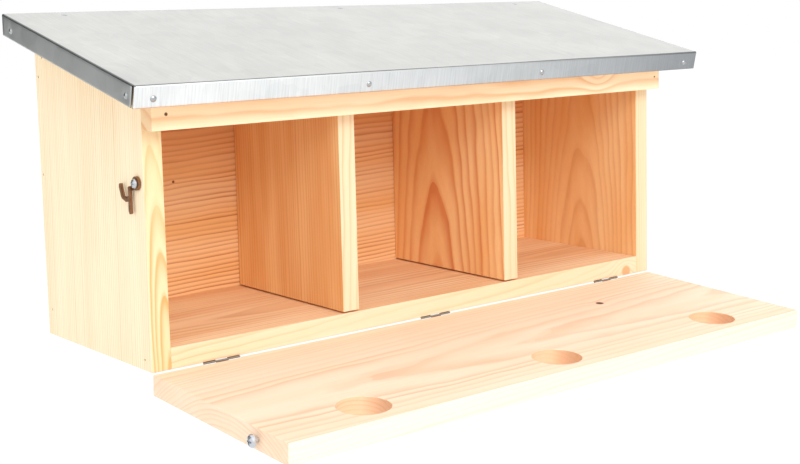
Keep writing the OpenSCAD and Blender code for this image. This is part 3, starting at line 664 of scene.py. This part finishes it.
def bronze(name):
    """Bronze-plated steel: a warm brown metal, rubbed paler where the plating is thin, in patches
    of about 3 mm."""
    material, tree = new_material(name)
    place = add(tree, "TexCoord")["Object"]
    cloud = add(tree, "TexNoise", {"Vector": place, "Scale": 1 / (3 * mm), "Detail": 4.0})[0]
    skin = add(tree, "ValToRGB", {"Fac": cloud}, stops=((0.3, srgb("#6C472E")), (0.7, srgb("#9A6E4A"))))[0]
    dull = add(tree, "MapRange", {"Value": cloud, "To Min": 0.35, "To Max": 0.55})[0]
    normal = add(tree, "Bump", {"Height": cloud, "Strength": 0.15, "Distance": 0.1 * mm})[0]
    surface = add(tree, "BsdfPrincipled", {"Base Color": skin, "Metallic": 0.8, "Roughness": dull,
                                           "Normal": normal})[0]
    add(tree, "OutputMaterial", {"Surface": surface})
    return material


hook_bronze = bronze("bronze_plated_steel")
# the wall of the punched eye is painted near-black, a painted shade inside the eye round the screw
eye_wall_painted_shade = zinc("painted_shade_in_hook_eye", "#1A1714", 0.6)
pivot = Vector((0, -142.5, 120)) * mm
# the eye was punched wide, so its wall, painted dark as shade, shows as a ring round the screw's head, and
# the arms are full
eye_was = 2.3 * mm
eye_r = 2.75 * mm
eye_wall = 3 * mm
arms_from = 3.2 * mm
arm_fuller = 0.3 * mm
for side in ("left", "right"):
    hook = eased_board(side + "_hook", hook_bronze, body=side + "_hook", ease=0.4 * mm)
    for point in hook.data.vertices:
        arm = point.co - pivot
        arm.x = 0
        if arm.length < eye_was:
            point.co += arm.normalized() * (eye_r - arm.length)
        elif arm.length > arms_from:
            point.co += arm_fuller * Vector((0, point.normal.y, point.normal.z))
    hook.data.materials.append(eye_wall_painted_shade)
    punched = len(hook.data.materials) - 1
    for face in hook.data.polygons:
        arm = face.center - pivot
        arm.x = 0
        if arm.length < eye_wall and face.normal.dot(arm.normalized()) < -0.8:
            face.material_index = punched
dress(zinc("zinc_plated_screw_steel", "#C9CDD2", 0.2), "left_hook_screw", "right_hook_screw",
      "left_catch_screw", "right_catch_screw", "hanger_screws")

# Hanger plates
# Two flat galvanised steel plates let in flush behind, each with a hole for a wall screw's head.
# They are stamped from sheet, and small countersunk screws hold them to the back panel.
dress(zinc("galvanised_plate_steel", "#BFC3C4", 0.3), "left_hanger_plate", "right_hanger_plate")

# Camera, lights and floor
# The camera stands where the photograph was taken from, to the left of the box and a little above
# its roof. Its shift only frames the object as the photograph does.
camera = bpy.data.objects.new("camera", bpy.data.cameras.new("camera"))
bpy.context.scene.collection.objects.link(camera)
camera.data.sensor_width = 36.0
camera.data.lens = 63.603
camera.data.shift_x = -0.1
camera.data.shift_y = -0.08375
camera.location = (-0.64177, -0.93984, 0.23398)
camera.rotation_euler = [math.radians(a) for a in (83.0513, 0.9736, -41.1564)]
bpy.context.scene.camera = camera

# An evenly lit white room. It has a darker patch behind the box to the left, which the roof
# reflects, and a duller right-hand side. It is brighter overhead but for the very top.
world = bpy.data.worlds.new("studio")
bpy.context.scene.world = world
world.use_nodes = True
sky = world.node_tree
sky.nodes.clear()
towards = add(sky, "TexCoord")["Generated"]
behind = Vector((-0.42, 0.9, 0.1)).normalized()
gloom = add(sky, "VectorMath", {0: towards, 1: behind}, operation="DOT_PRODUCT")[1]
gloom = add(sky, "MapRange", {"Value": gloom, "From Min": 0.72, "From Max": 0.9, "To Min": 0.0,
                              "To Max": 0.9}, interpolation_type="SMOOTHSTEP")[0]
rightwards = Vector((0.95, -0.31, 0.0)).normalized()
shade = add(sky, "VectorMath", {0: towards, 1: rightwards}, operation="DOT_PRODUCT")[1]
shade = add(sky, "MapRange", {"Value": shade, "From Min": 0.6, "From Max": 0.97, "To Min": 1.0,
                              "To Max": 0.6}, interpolation_type="SMOOTHSTEP")[0]
height = add(sky, "SeparateXYZ", {0: towards})[2]
rise = add(sky, "MapRange", {"Value": height, "From Min": 0.0, "From Max": 0.35, "To Min": 1.08,
                             "To Max": 1.36}, interpolation_type="SMOOTHSTEP")[0]
crown = add(sky, "MapRange", {"Value": height, "From Min": 0.55, "From Max": 0.95, "To Min": 0.0,
                              "To Max": 0.15}, interpolation_type="SMOOTHSTEP")[0]
glow = add(sky, "Math", {0: rise, 1: crown}, operation="SUBTRACT")[0]
loss = add(sky, "Math", {0: glow, 1: gloom}, operation="MULTIPLY")[0]
glow = add(sky, "Math", {0: glow, 1: loss}, operation="SUBTRACT")[0]
glow = add(sky, "Math", {0: glow, 1: shade}, operation="MULTIPLY")[0]
# the background itself is seen plain white
seen = add(sky, "LightPath")["Is Camera Ray"]
lit = add(sky, "Mix", {0: seen, 2: glow, 3: 1.0})[0]
shine = add(sky, "Background", {"Color": (1, 1, 1, 1), "Strength": lit})[0]
add(sky, "OutputWorld", {"Surface": shine})

softbox = bpy.data.lights.new("front_softbox", "AREA")
softbox.shape = "RECTANGLE"
softbox.size = 1.3
softbox.size_y = 1.0
softbox.energy = 26
front = bpy.data.objects.new("front_softbox", softbox)
front.location = (-0.6, -2.1, 1.45)
box_middle = Vector((0, -0.1, 0.08))
front.rotation_euler = (box_middle - Vector(front.location)).to_track_quat("-Z", "Y").to_euler()
bpy.context.scene.collection.objects.link(front)

# White paper well below the box, seen plain white, which throws light up as matt paper does
floor_z = -0.17
floor_form = bmesh.new()
bmesh.ops.create_grid(floor_form, x_segments=1, y_segments=1, size=6.0)
bmesh.ops.translate(floor_form, verts=floor_form.verts, vec=(0, 0, floor_z))
floor_mesh = bpy.data.meshes.new("studio_floor")
floor_form.to_mesh(floor_mesh)
floor_form.free()
studio_floor = bpy.data.objects.new("studio_floor", floor_mesh)
bpy.context.scene.collection.objects.link(studio_floor)
paper, tree = new_material("white_paper_floor")
matt = add(tree, "BsdfPrincipled", {"Base Color": grey(0.78), "Roughness": 0.8})[0]
glare = add(tree, "Emission", {"Color": (1, 1, 1, 1), "Strength": 1.05})[0]
bounced = add(tree, "LightPath")["Is Diffuse Ray"]
surface = add(tree, "MixShader", {0: bounced, 1: glare, 2: matt})[0]
add(tree, "OutputMaterial", {"Surface": surface})
floor_mesh.materials.append(paper)

# Colours come out as they are, and light bounces often enough to fill the nests
scene = bpy.context.scene
scene.view_settings.view_transform = "Standard"
scene.view_settings.look = "None"
scene.view_settings.exposure = 0.0
scene.cycles.diffuse_bounces = 8
scene.cycles.max_bounces = 12
